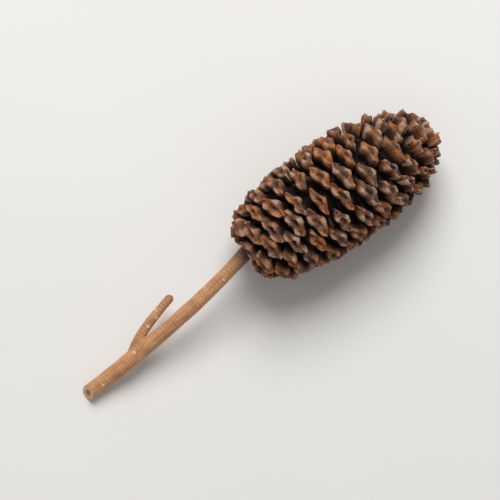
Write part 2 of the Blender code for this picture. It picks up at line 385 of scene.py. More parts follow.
@dataclass
class Shell:
    """A closed surface under way: points in millimetres, faces, and values at each point."""

    points: np.ndarray
    faces: np.ndarray
    values: dict[str, np.ndarray] = field(default_factory=dict)

    @classmethod
    def joined(cls, shells: list["Shell"]) -> "Shell":
        """Puts several shells into one, each still closed by itself.

        Args:
            shells: The shells, which all keep the same kinds of values.

        Returns:
            The one shell.
        """
        offsets = np.cumsum([0] + [len(s.points) for s in shells[:-1]])
        return cls(
            points=np.concatenate([s.points for s in shells]),
            faces=np.concatenate([s.faces + o for s, o in zip(shells, offsets)]),
            values={k: np.concatenate([s.values[k] for s in shells]) for k in shells[0].values},
        )

    def united(self, voxel: float) -> "Shell":
        """Makes one even skin round everything in the shell.

        Args:
            voxel: Size of the new faces, in millimetres.

        Returns:
            A new shell without values.
        """
        rough = mesh_object("under_way", self.points, self.faces)
        remesh = rough.modifiers.new("skin", "REMESH")
        remesh.mode, remesh.voxel_size = "VOXEL", voxel
        skin = bpy.data.meshes.new_from_object(rough.evaluated_get(bpy.context.evaluated_depsgraph_get()))
        points, faces = np.zeros(len(skin.vertices) * 3), np.zeros(len(skin.loops), int)
        skin.vertices.foreach_get("co", points)
        skin.loops.foreach_get("vertex_index", faces)
        bpy.data.batch_remove((rough, rough.data, skin))
        return Shell(points.reshape(-1, 3), faces.reshape(-1, 4))

    def normals(self) -> np.ndarray:
        """Works out the directions that the surface faces.

        Returns:
            One direction for each point.
        """
        a, b, c, d = self.points[self.faces.T]
        facing = np.cross(c - a, d - b)
        total = np.zeros_like(self.points)
        for corners in self.faces.T:
            np.add.at(total, corners, facing)
        return unit(total)

    def relax(self, rounds: int, share: np.ndarray | float) -> None:
        """Draws each point towards the middle of its neighbours.

        Args:
            rounds: How many times.
            share: How far, from 0 to 1, for all points or for each.
        """
        for _ in range(rounds):
            total, count = np.zeros_like(self.points), np.zeros(len(self.points))
            for start, end in zip(self.faces.T, np.roll(self.faces.T, -1, axis=0)):
                np.add.at(total, start, self.points[end])
                np.add.at(count, start, 1)
            middle = total / np.maximum(count, 1)[:, None]
            self.points += (middle - self.points) * np.reshape(share, (-1, 1))

    def write(self, name: str, material: bpy.types.Material, slot: str, node: str) -> None:
        """Writes the shell as a smooth mesh object in metres and gives it its place in the frame.

        Args:
            name: Name of the piece.
            material: Its material.
            slot: Not used.
            node: The CAD node it stands for.
        """
        piece = mesh_object(name, self.points * MM, self.faces)
        for key, kept in self.values.items():
            kind, entry = ("FLOAT_VECTOR", "vector") if kept.ndim == 2 else ("FLOAT", "value")
            attribute = piece.data.attributes.new(key, kind, "POINT")
            attribute.data.foreach_set(entry, kept.astype(np.float32).ravel())
        piece.data.shade_smooth()
        piece.data.update()
        piece.data.materials.append(material)
        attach(piece, BODY)
        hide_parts(node)
        log.info("%s: %d faces", name, len(self.faces))


@dataclass(frozen=True)
class ScaleForm:
    """One woody scale: a wedge that flares into a lens-shaped end with knobbly lips and a furrow.

    X is across the scale, Y towards the tip and Z along it. Stalk entries are shares of the way
    up to the lips, and cap entries run from the rim to the furrow. The wrinkles move points
    across, through and along the scale.
    """

    around: int = 64
    stalk: tuple[float, ...] = (0.16, 0.3, 0.42, 0.53, 0.63, 0.72, 0.8, 0.87, 0.935, 1)
    cap: tuple[float, ...] = (0.04, 0.11, 0.2, 0.31, 0.43, 0.55, 0.68, 0.81, 0.92, 1)
    root_depth: float = 1.2
    stalk_width: float = 0.40
    stalk_thickness: float = 0.42
    width_ramp: Pair = (0.05, 0.80)
    thickness_ramp: Pair = (0.45, 0.52)
    flare_ramp: Pair = (0.35, 0.5)
    lens_power: float = 1.5
    breadth_spread: Pair = (0.945, 0.04725)
    slimness_spread: Pair = (0.755, 0.06795)
    reach: float = 0.975
    lip: float = 0.40
    lip_share: float = 0.44
    furrow_depth: float = 0.42
    furrow_range: Pair = (0.7, 1.25)
    furrow_reach: float = 0.68
    pit_reach: float = 0.50
    pit_edge: float = 1.3
    lobe_waves: float = 1.75
    lobe_range: Pair = (0.88, 1.15)
    lobe_shift_spread: Pair = (0, 0.09)
    lobe_size_spread: Pair = (1, 0.22)
    side_ramp: Pair = (-0.25, 0.5)
    knob_level: float = 0.55
    swell_range: Pair = (0.09, 0.15)
    waving_range: Pair = (0.025, 0.07)
    rise_range: Pair = (0.084, 0.156)
    arch_spread: Pair = (0.12, 0.12)
    bend_spread: Pair = (0.05, 0.08)
    tilt_spread: Pair = (0, 0.05)
    lean_spread: Pair = (0, 0.12)
    round_back: float = 0.14
    wrinkles: tuple[Waves, ...] = (Waves(0.045, 0.75, 0.45), Waves(0.045, 0.75, 0.45), Waves(0.045, 0.6))
    tip_ramp: Pair = (0.68, 0.22)
    tip_narrowing: float = 0.08
    tip_slimming: float = 0.24
    tip_deepening: float = 0.4
    tip_pit_growth: float = 0.3
    tip_drop: float = 0.20

    def faces(self) -> np.ndarray:
        """Lists the quads of one scale, whose first and last rings are folded flat and closed.

        Returns:
            Four point numbers a row.
        """
        half = self.around // 2
        columns = np.arange(self.around)
        folded = np.where(columns > half, self.around - columns, columns)
        full_rings = len(self.stalk) + len(self.cap)
        rings = [half + 1 + k * self.around + columns for k in range(full_rings)]
        return bands([folded, *rings, half + 1 + full_rings * self.around + folded])

    def unfolded(self, rows: np.ndarray) -> np.ndarray:
        """Lists values ring by ring, without the second copy of the points folded together."""
        keep = self.around // 2 + 1
        return np.concatenate([rows[0, :keep], rows[1:-1].reshape(-1, *rows.shape[2:]), rows[-1, :keep]])

    def lobes(
        self, x: np.ndarray, y: np.ndarray, chance: np.random.Generator
    ) -> tuple[np.ndarray, np.ndarray]:
        """Shapes the five lobes of the end: one in the middle and one at each tail on the upper
        lip, and two between them on the lower lip.

        Args:
            x: Place across the end, from -1 to 1.
            y: Place through it, from -1 to 1.
            chance: Source of each lobe's size.

        Returns:
            The lobes' height, usually 1 at most, and the wave of their middle line, -1 to 1.
        """
        shifted = x - chance.normal(*self.lobe_shift_spread)
        passed = shifted * self.lobe_waves * chance.uniform(*self.lobe_range)
        wave = np.cos(math.pi * passed)
        most = 4
        gains = chance.normal(*self.lobe_size_spread, size=2 * most + 1).clip(0.45, 1.5)
        number = np.clip(np.round(passed) + most, 0, 2 * most).astype(int)
        upper = gains[number] * ((1 + wave) / 2) ** 0.8
        lower = gains[2 * most - number] * ((1 - wave) / 2) ** 0.8
        side = smooth(y, *self.side_ramp)
        return upper * side + lower * (1 - side), wave

    def grow(self, place: ScalePlace, seed: int) -> Shell:
        """Grows one scale at its place on the upright cone.

        Args:
            place: Where it grows and how large it is.
            seed: Picks its irregularities.

        Returns:
            The scale's closed surface with its values: depth, wear, furrow, tint and grown.
        """
        chance = np.random.default_rng(seed)
        turn, rounding = turns(self.around), 2 / self.lens_power
        lens_x, lens_y = (np.sign(v) * np.abs(v) ** rounding for v in (np.cos(turn), np.sin(turn)))
        tipness = float(smooth(place.share, *self.tip_ramp))
        half_w = place.width / 2 * chance.normal(*self.breadth_spread)
        half_w *= 1 - self.tip_narrowing * tipness
        half_t = place.thickness / 2 * chance.normal(*self.slimness_spread)
        half_t *= 1 - self.tip_slimming * tipness
        knob, wave = self.lobes(lens_x, lens_y, chance)
        arch, bend = chance.normal(*self.arch_spread), chance.normal(*self.bend_spread)
        swell, waving = chance.uniform(*self.swell_range), chance.uniform(*self.waving_range)
        rise = chance.uniform(*self.rise_range)
        furrow_depth = self.furrow_depth * chance.uniform(*self.furrow_range)
        furrow_depth *= 1 + self.tip_deepening * tipness
        tilt, lean = chance.normal(*self.tilt_spread), chance.normal(*self.lean_spread)

        # Plain form, ring by ring: rest runs up the stalk, and step over the end
        rest = np.array((0, 0, *self.stalk, *np.ones(len(self.cap))))[:, None]
        step = np.array((*np.zeros(2 + len(self.stalk)), *self.cap))[:, None]
        top = self.reach * place.length - self.lip - self.tip_drop * tipness
        over = np.minimum(step / self.lip_share, 1)
        height = rest * top + self.lip * np.sqrt(1 - (1 - over) ** 2)
        height[:2] = -self.root_depth
        wide = self.stalk_width + (1 - self.stalk_width) * smooth(rest, *self.width_ramp)
        wide *= 1 - (1 - self.furrow_reach) * step**0.9
        thick = self.stalk_thickness + (1 - self.stalk_thickness) * smooth(rest, *self.thickness_ramp)
        thick *= 1 - step
        thick[0] = 0

        # Lobes, bends and the furrow
        flare = smooth(rest, *self.flare_ramp)
        above = knob - self.knob_level
        out_x = half_t * (np.roll(lens_y, -1) - np.roll(lens_y, 1))
        out_y = -half_w * (np.roll(lens_x, -1) - np.roll(lens_x, 1))
        swelling = swell * flare * (1 - step) * above / np.hypot(out_x, out_y)
        x = half_w * wide * lens_x + swelling * out_x
        y = half_t * thick * lens_y + swelling * out_y
        y = y + smooth(height / place.length) * (bend - arch * lens_x**2 + flare * waving * wave)
        leaning = tilt * half_w * lens_x + lean * half_t * lens_y * (1 - step)
        sinking = self.round_back * (half_w * lens_x) ** 2 - leaning
        pit_reach = self.pit_reach * (1 + self.tip_pit_growth * tipness)
        hollow = furrow_depth * smooth(step, self.lip_share, 1 - self.lip_share)
        hollow = hollow * smooth(self.pit_edge - np.abs(lens_x) / pit_reach)
        bell = np.sin(math.pi * np.minimum(step / 0.9, 1)) ** 0.8
        z = height + rise * bell * above - hollow - sinking * over

        points = self.unfolded(np.stack([x, y, z], axis=2))
        points = points + np.stack([waves.at(points, chance) for waves in self.wrinkles], axis=1)
        # The furrow value marks the furrow and the grooves between the lobes, which get painted shade.
        groove = 0.6 * flare * (1 - np.clip(knob, 0, 1)) ** 2
        on_lip = 0.35 + 0.65 * np.sin(math.pi * np.minimum(0.2 + step, 1))
        values = {
            "depth": self.unfolded(height / place.length * np.ones_like(x)),
            "wear": self.unfolded(flare * on_lip * knob),
            "furrow": self.unfolded(np.maximum(hollow / self.furrow_depth, groove)),
            "tint": np.full(len(points), chance.uniform(0, 1)),
            "grown": points + chance.uniform(-50, 50, size=3),
        }
        return Shell(points @ place.turning.T + place.root, self.faces(), values)


class Zone(Enum):
    """Stretch of the cone whose scales make one piece, by the share of the cone's length."""

    FOOT = (0.0, 0.36)
    MIDDLE = (0.36, 0.66)
    TIP = (0.66, 1.01)


class Sheet:
    """Adds nodes to one tree, in rows, and joins them."""

    def __init__(self, tree: bpy.types.NodeTree) -> None:
        """Keeps the tree."""
        self.tree = tree

    def add(self, kind: str, feeds: Feeds | None = None, **settings: object) -> bpy.types.Node:
        """Adds a node.

        Args:
            kind: Its type name.
            feeds: What goes into its inputs: sockets to join, or fixed values.
            **settings: Properties to set on it.

        Returns:
            The node.
        """
        count = len(self.tree.nodes)
        node = self.tree.nodes.new(kind)
        node.location = (200 * (count % 10), -260 * (count // 10))
        for key, value in settings.items():
            setattr(node, key, value)
        for key, source in (feeds or {}).items():
            if isinstance(source, bpy.types.NodeSocket):
                self.tree.links.new(source, node.inputs[key])
            else:
                node.inputs[key].default_value = source
        return node

    def maths(self, operation: str, *values: Feed) -> bpy.types.NodeSocket:
        """Works out one operation on the values."""
        return self.add("ShaderNodeMath", dict(enumerate(values)), operation=operation).outputs[0]

    def times(self, value: Feed, factor: Feed, plus: Feed = 0.0) -> bpy.types.NodeSocket:
        """Multiplies a value by a factor and adds another."""
        return self.maths("MULTIPLY_ADD", value, factor, plus)

    def span(self, value: Feed, low: Feed, high: Feed) -> bpy.types.NodeSocket:
        """Eases a value from 0 at the low end to 1 at the high end."""
        feeds = {"Value": value, "From Min": low, "From Max": high}
        return self.add("ShaderNodeMapRange", feeds, interpolation_type="SMOOTHSTEP").outputs[0]

    def noise(self, place: Feed, scale: Feed, detail: float) -> bpy.types.NodeSocket:
        """Cloudy noise from 0 to 1 at the given scale."""
        feeds = {"Vector": place, "Scale": scale, "Detail": detail}
        return self.add("ShaderNodeTexNoise", feeds).outputs[0]

    def relief(self, height: Feed, depth: float) -> bpy.types.NodeSocket:
        """Turns a height from about 0 to 1 into a fine relief, its depth in metres."""
        feeds = {"Strength": 0.9, "Distance": depth, "Height": height}
        return self.add("ShaderNodeBump", feeds).outputs[0]

    def attribute(self, name: str, output: str = "Fac") -> bpy.types.NodeSocket:
        """Reads a value kept at the mesh's points."""
        return self.add("ShaderNodeAttribute", attribute_name=name).outputs[output]

    def coats(self, colour: Feed, *coats: tuple[Feed, Feed]) -> Feed:
        """Lays coats of colour over each other.

        Args:
            colour: The colour below all.
            *coats: How much each covers, from 0 to 1, and its colour.

        Returns:
            The colour on top.
        """
        factor, below, above, result = 0, 6, 7, 2
        for share, coat in coats:
            feeds = {factor: share, below: colour, above: coat}
            colour = self.add("ShaderNodeMix", feeds, data_type="RGBA").outputs[result]
        return colour

    def use(self, effect: "Effect", **inputs: Feed) -> Sockets:
        """Places a shared effect with the given inputs, and gives its outputs by name."""
        node = self.add("ShaderNodeGroup", inputs, node_tree=effect.group())
        return {socket.name: socket for socket in node.outputs}


class Effect(Enum):
    """Effects that more than one finish uses, each a node group that is built once.

    Each holds the names of its inputs, of which Place alone is a vector, and of its outputs.
    """

    FIBRES = (("Place", "Across", "Along"), ("Height", "Tone"))
    BLOTCHES = (("Place", "Scale", "Low", "High"), ("Mask",))
    SPECKS = (("Place", "Scale", "Share"), ("Mask",))
    WORN = (("Height", "Place", "Scale", "Low", "High"), ("Mask",))

    def group(self) -> bpy.types.NodeTree:
        """Gives the effect's node group, which is built the first time.

        Returns:
            The group.
        """
        name = self.name.lower()
        if name in bpy.data.node_groups:
            return bpy.data.node_groups[name]
        tree = bpy.data.node_groups.new(name, "ShaderNodeTree")
        for way, keys in zip(("INPUT", "OUTPUT"), self.value):
            for key in keys:
                kind = "NodeSocketVector" if key == "Place" else "NodeSocketFloat"
                tree.interface.new_socket(key, in_out=way, socket_type=kind)
        sheet = Sheet(tree)
        given = {socket.name: socket for socket in sheet.add("NodeGroupInput").outputs}
        draw = {
            Effect.FIBRES: self._fibres,
            Effect.BLOTCHES: self._blotches,
            Effect.SPECKS: self._specks,
            Effect.WORN: self._worn,
        }[self]
        sheet.add("NodeGroupOutput", draw(sheet, given))
        return tree

    def _fibres(self, sheet: Sheet, given: Sockets) -> Feeds:
        """Draws grain that runs along Z.

        Args:
            sheet: The group's sheet.
            given: The group's inputs.

        Returns:
            A height for the relief and a tone for the colour.
        """
        parts = sheet.add("ShaderNodeSeparateXYZ", {0: given["Place"]}).outputs
        paces = zip("XYZ", ("Across", "Across", "Along"))
        packed = {axis: sheet.times(parts[axis], given[pace]) for axis, pace in paces}
        place = sheet.add("ShaderNodeCombineXYZ", packed).outputs[0]
        coarse, fine = sheet.noise(place, 1.0, 4.0), sheet.noise(place, 2.9, 3.0)
        return {"Height": sheet.times(fine, 0.35, coarse), "Tone": sheet.span(coarse, 0.33, 0.67)}

    def _blotches(self, sheet: Sheet, given: Sockets) -> Feeds:
        """Draws irregular patches, from 0 outside to 1 inside."""
        cloud = sheet.noise(given["Place"], given["Scale"], 4.0)
        return {"Mask": sheet.span(cloud, given["Low"], given["High"])}

    def _specks(self, sheet: Sheet, given: Sockets) -> Feeds:
        """Draws small round specks, few or many.

        Args:
            sheet: The group's sheet.
            given: The group's inputs.

        Returns:
            The specks' mask.
        """
        feeds = {"Vector": given["Place"], "Scale": given["Scale"]}
        cells = sheet.add("ShaderNodeTexVoronoi", feeds).outputs
        lot = sheet.add("ShaderNodeSeparateColor", {0: cells["Color"]}).outputs[0]
        drawn = sheet.maths("LESS_THAN", lot, given["Share"])
        return {"Mask": sheet.times(sheet.span(cells["Distance"], 0.34, 0.16), drawn)}

    def _worn(self, sheet: Sheet, given: Sockets) -> Feeds:
        """Draws wear on high spots, broken up so that it has ragged edges."""
        cloud = sheet.times(sheet.noise(given["Place"], given["Scale"], 3.0), 0.9, -0.45)
        return {"Mask": sheet.span(sheet.maths("ADD", cloud, given["Height"]), given["Low"], given["High"])}


@dataclass(frozen=True)
class Finish:
    """A material with one Principled shader, which each kind of finish paints in its own way."""

    name: str

    def paint(self, sheet: Sheet) -> Feeds:
        """Gives what goes into the shader's inputs, drawn on the material's sheet."""
        raise NotImplementedError

    def material(self) -> bpy.types.Material:
        """Builds the material.

        Returns:
            The material, under the finish's name.
        """
        material = bpy.data.materials.new(self.name)
        material.use_nodes = True
        material.node_tree.nodes.clear()
        sheet = Sheet(material.node_tree)
        shader = sheet.add("ShaderNodeBsdfPrincipled", self.paint(sheet))
        sheet.add("ShaderNodeOutputMaterial", {"Surface": shader.outputs[0]})
        return material


@dataclass(frozen=True)
class ScaleWood(Finish):
    """Dry dark wood of the cone: near-black painted shade inside, orange-brown flanks, greyed worn knobs
    and painted shade in the furrows.
    """

    name: str = "scale_wood"
    # Near-black painted shade deep inside the cone, on the scales' stalks and on the axis.
    heart: Colour = (0.003, 0.0015, 0.001, 1)
    flank: Colour = (0.360, 0.112, 0.025, 1)
    flank_dark: Colour = (0.055, 0.020, 0.008, 1)
    end_fresh: Colour = (0.450, 0.150, 0.033, 1)
    end_grey: Colour = (0.225, 0.116, 0.064, 1)
    worn: Colour = (0.470, 0.290, 0.190, 1)
    # Near-black painted shade in the furrows and in the grooves between the lobes.
    hollow: Colour = (0.030, 0.012, 0.006, 1)
    dust: Colour = (0.50, 0.36, 0.26, 1)
    relief: float = 0.17 * MM

    def paint(self, sheet: Sheet) -> Feeds:
        """Paints by the values that the scales keep at their points.

        Args:
            sheet: The material's sheet.

        Returns:
            What goes into the shader's inputs.
        """
        place = sheet.attribute("grown", "Vector")
        depth, wear, furrow, tint = map(sheet.attribute, ("depth", "wear", "furrow", "tint"))
        fibres = sheet.use(Effect.FIBRES, Place=place, Across=6.5, Along=1.1)
        patches = sheet.use(Effect.BLOTCHES, Place=place, Scale=0.9, Low=0.38, High=0.62)["Mask"]
        worn = sheet.use(Effect.WORN, Height=wear, Place=place, Scale=2.8, Low=0.50, High=0.92)["Mask"]
        specks = sheet.use(Effect.SPECKS, Place=place, Scale=4.5, Share=0.10)["Mask"]
        greyness = sheet.times(tint, 0.26, sheet.noise(place, 0.85, 2.0))
        at_end = sheet.times(sheet.span(depth, 0.76, 0.97), sheet.times(fibres["Tone"], 0.55, 0.45))
        wood = sheet.coats(
            # Below all, near-black painted shade deep in the cone; the next coat eases it into the flanks'
            # own colour towards the scales' ends.
            self.heart,
            (sheet.span(depth, 0.55, 0.97), sheet.coats(self.flank_dark, (patches, self.flank))),
            (at_end, sheet.coats(self.end_fresh, (sheet.span(greyness, 0.54, 0.68), self.end_grey))),
            (sheet.times(sheet.span(fibres["Height"], 0.64, 0.46), 0.6), self.flank_dark),
            (sheet.times(worn, sheet.times(tint, 0.5, 0.5)), self.worn),
            # Painted shade in the furrows and in the grooves between the lobes.
            (sheet.times(furrow, 0.92), self.hollow),
            (sheet.times(specks, sheet.times(wear, 0.45)), self.dust),
        )
        rough = sheet.times(fibres["Tone"], 0.20, -0.45)
        rough = sheet.times(sheet.span(depth, 0.70, 0.95), rough, 1.0)
        bumps = sheet.relief(fibres["Height"], self.relief)
        return {"Base Color": wood, "Roughness": rough, "Specular IOR Level": 0.40, "Normal": bumps}


@dataclass(frozen=True)
class TwigBark(Finish):
    """Thin tan bark with fine rings and pale pores, painted shade where the stem meets the cone, a darker
    twig, and pale cut wood.
    """

    name: str = "twig_bark"
    light: Colour = (0.64, 0.325, 0.148, 1)
    deep: Colour = (0.36, 0.155, 0.064, 1)
    # Dark bark colour: painted shade where the stem runs in under the cone, and also the twig's own darker
    # tone and the worn marks.
    by_cone: Colour = (0.085, 0.038, 0.018, 1)
    pore: Colour = (0.66, 0.48, 0.36, 1)
    cut_wood: Colour = (0.82, 0.50, 0.30, 1)
    pith: Colour = (0.32, 0.115, 0.040, 1)
    relief: float = 0.04 * MM

    def paint(self, sheet: Sheet) -> Feeds:
        """Paints by the values that the stem keeps at its points.

        Args:
            sheet: The material's sheet.

        Returns:
            What goes into the shader's inputs.
        """
        place = sheet.attribute("grown", "Vector")
        names = ("dark", "pore", "cut", "pith", "ridge")
        dark, pore, cut, pith, ridge = map(sheet.attribute, names)
        fibres = sheet.use(Effect.FIBRES, Place=place, Across=4.5, Along=0.5)
        patches = sheet.use(Effect.BLOTCHES, Place=place, Scale=0.7, Low=0.36, High=0.66)["Mask"]
        worn = sheet.use(Effect.WORN, Height=ridge, Place=place, Scale=1.5, Low=0.75, High=1.2)["Mask"]
        specks = sheet.use(Effect.SPECKS, Place=place, Scale=3.2, Share=0.05)["Mask"]
        bark = sheet.coats(
            self.light,
            (sheet.times(fibres["Tone"], 0.5, sheet.times(patches, 0.4)), self.deep),
            (sheet.times(ridge, 0.46), self.deep),
            (sheet.times(worn, 0.25), self.by_cone),
            # Painted shade by the cone, and the twig's own darker tone and darker tip.
            (dark, self.by_cone),
            (pore, self.pore),
            (sheet.times(specks, 0.5), self.pore),
            (cut, sheet.coats(self.cut_wood, (pith, self.pith))),
        )
        rough = sheet.times(fibres["Tone"], 0.18, 0.42)
        bumps = sheet.relief(fibres["Height"], self.relief)
        return {"Base Color": bark, "Roughness": rough, "Normal": bumps}


@dataclass(frozen=True)
class PlainPaper(Finish):
    """Plain pale ground, a little uneven in tone."""

    name: str = "plain_paper"
    tone: Colour = (0.80, 0.79, 0.77, 1)
    tone_low: Colour = (0.77, 0.76, 0.74, 1)

    def paint(self, sheet: Sheet) -> Feeds:
        """Paints soft clouds of the two tones.

        Args:
            sheet: The material's sheet.

        Returns:
            What goes into the shader's inputs.
        """
        place = sheet.add("ShaderNodeTexCoord").outputs["Object"]
        cloud = sheet.use(Effect.BLOTCHES, Place=place, Scale=12.0, Low=0.3, High=0.7)["Mask"]
        colour = sheet.coats(self.tone, (cloud, self.tone_low))
        return {"Base Color": colour, "Roughness": 0.85, "Specular IOR Level": 0.2}


@dataclass(frozen=True)
class ConeScales:
    """All scales of the cone, in three pieces from foot to tip."""

    growth: Growth
    lie: Lie
    form: ScaleForm = ScaleForm()
    first_seed: int = 400

    def build(self, material: bpy.types.Material) -> None:
        """Grows every scale and writes the three pieces.

        Args:
            material: The cone's wood.
        """
        places = list(enumerate(self.growth.places(), self.first_seed))
        for zone in Zone:
            low, high = zone.value
            shells = [self.form.grow(place, seed) for seed, place in places if low <= place.share < high]
            joined = Shell.joined(shells)
            joined.points = self.lie.lay(joined.points)
            joined.write(f"scales_{zone.name.lower()}", material, "scale_wood", "cone")


@dataclass(frozen=True)
class ConeAxis:
    """The spindle that the scales spring from, with the collar where the stem enters."""

    growth: Growth
    lie: Lie
    around: int = 128
    rings: int = 150
    collar_radius: float = 0.88
    collar_flare: float = 1.45
    collar_overlap: float = 1.0
    flare_overlap: float = 0.6
    core_share: float = 0.72
    core_end: float = 0.90
    roughness: Waves = Waves(0.30, 1.3, 1.4)
    inside_run: float = 3.0
    stem_reach: float = 1.1
    seed: int = 77

    def radius(self, height: float) -> float:
        """Gives the radius of core or collar, whichever is wider.

        Args:
            height: Height along the cone.

        Returns:
            The radius there.
        """
        growth = self.growth
        start, end = growth.roots_start * growth.length, self.core_end * growth.length
        share = min(max((height - start) / (end - start), 0.0), 1.0)
        closing = (1 - (2 * share - 1) ** 8) ** 0.5
        spindle = self.core_share * growth.radius_at(height) * closing
        collar_start = growth.collar_start * growth.length
        way = float(smooth(height, collar_start, start + self.flare_overlap - collar_start))
        collar = self.collar_radius * (1 + (self.collar_flare - 1) * way)
        return max(spindle, collar if height < start + self.collar_overlap else 0.0)

    def build(self, material: bpy.types.Material) -> None:
        """Turns the outline round the cone's middle line and writes the piece.

        Args:
            material: The cone's wood.
        """
        growth, turn = self.growth, turns(self.around)
        first, last = growth.collar_start * growth.length, self.core_end * growth.length - 0.02
        circle = np.stack([np.cos(turn), np.sin(turn)], axis=1)
        points = np.concatenate([
            np.column_stack([circle * self.radius(float(height)), np.full(self.around, height)])
            for height in np.linspace(first, last, self.rings)
        ])
        rough = self.roughness.at(points, np.random.default_rng(self.seed))
        inside = smooth(points[:, 2], first, self.inside_run)
        by_stem = near((points[:, 2] - first) / self.stem_reach)
        raised = rough * (0.15 + 0.85 * inside)
        points[:, :2] *= 1 + (raised / np.hypot(points[:, 0], points[:, 1]).clip(0.4))[:, None]
        # Low depth paints the axis with the near-black painted shade of the cone's inside; its raised lumps
        # and the collar by the stem get lighter wood.
        values = {
            "depth": 0.12 + 0.55 * by_stem + 0.62 * inside * smooth(0.3 + 2 * rough),
            "wear": 0.3 * by_stem,
            "furrow": np.zeros(len(points)),
            "tint": np.full(len(points), 0.4),
            "grown": points.copy(),
        }
        shell = Shell(self.lie.lay(points), tube_faces(self.rings, self.around), values)
        shell.write("cone_axis", material, "scale_wood", "cone")


@dataclass(frozen=True)
class Shoot:
    """A round shoot along a curve, with places measured along and around it.

    Attributes:
        middle: Points of its middle line.
        radii: Its radius at each.
        headings: Its direction at each.
        sides: Level direction across it at each.
        reach: Distance from its first point to each.
    """

    middle: np.ndarray
    radii: np.ndarray
    headings: np.ndarray
    sides: np.ndarray
    reach: np.ndarray

    @classmethod
    def along(cls, middle: np.ndarray, radii: np.ndarray) -> "Shoot":
        """Works out the directions of a shoot from its middle line.

        Args:
            middle: Points of the line.
            radii: The shoot's radius at each.

        Returns:
            The shoot.
        """
        headings = unit(np.gradient(middle, axis=0))
        gaps = np.linalg.norm(np.diff(middle, axis=0), axis=1)
        reach = np.concatenate([[0], np.cumsum(gaps)])
        return cls(middle, radii, headings, unit(np.cross((0, 0, 1), headings)), reach)

    @property
    def ups(self) -> np.ndarray:
        """Upward direction across the shoot at each point."""
        return np.cross(self.headings, self.sides)

    def tube(self, around: int, slope: Pair = (0.0, 0.0), run: float = 1.6) -> Shell:
        """Makes the shoot's plain round surface.

        Args:
            around: Number of points round it.
            slope: How slanting its far end is cut, across and up, as rise over width.
            run: Length at the far end over which the slant comes in.

        Returns:
            A closed shell.
        """
        turn, wide = turns(around)[None, :, None], self.radii[:, None, None]
        cos, sin = np.cos(turn), np.sin(turn)
        ending = smooth(self.reach, self.reach[-1] - run, run)[:, None, None]
        shear = ending * wide * (slope[0] * (cos - 1) - slope[1] * (sin + 0.5))
        across = wide * (cos * self.sides[:, None] + sin * self.ups[:, None])
        points = self.middle[:, None] + across + shear * self.headings[:, None]
        return Shell(points.reshape(-1, 3), tube_faces(len(self.middle), around))

    def measure(self, places: np.ndarray) -> tuple[np.ndarray, ...]:
        """Finds where places are, next to the nearest point of the middle line.

        Args:
            places: Places, one a row.

        Returns:
            Distance over radius, distance along the shoot, and the two parts across it.
        """
        at_once = 4000
        nearest = np.concatenate([
            ((some[:, None] - self.middle[None]) ** 2).sum(axis=2).argmin(axis=1)
            for some in np.array_split(places, 1 + len(places) // at_once)
        ])
        offset = places - self.middle[nearest]
        onward, sideways, upward = (
            (offset * way[nearest]).sum(axis=1) for way in (self.headings, self.sides, self.ups)
        )
        ratio = np.linalg.norm(offset, axis=1) / self.radii[nearest]
        return ratio, self.reach[nearest] + onward, sideways, upward


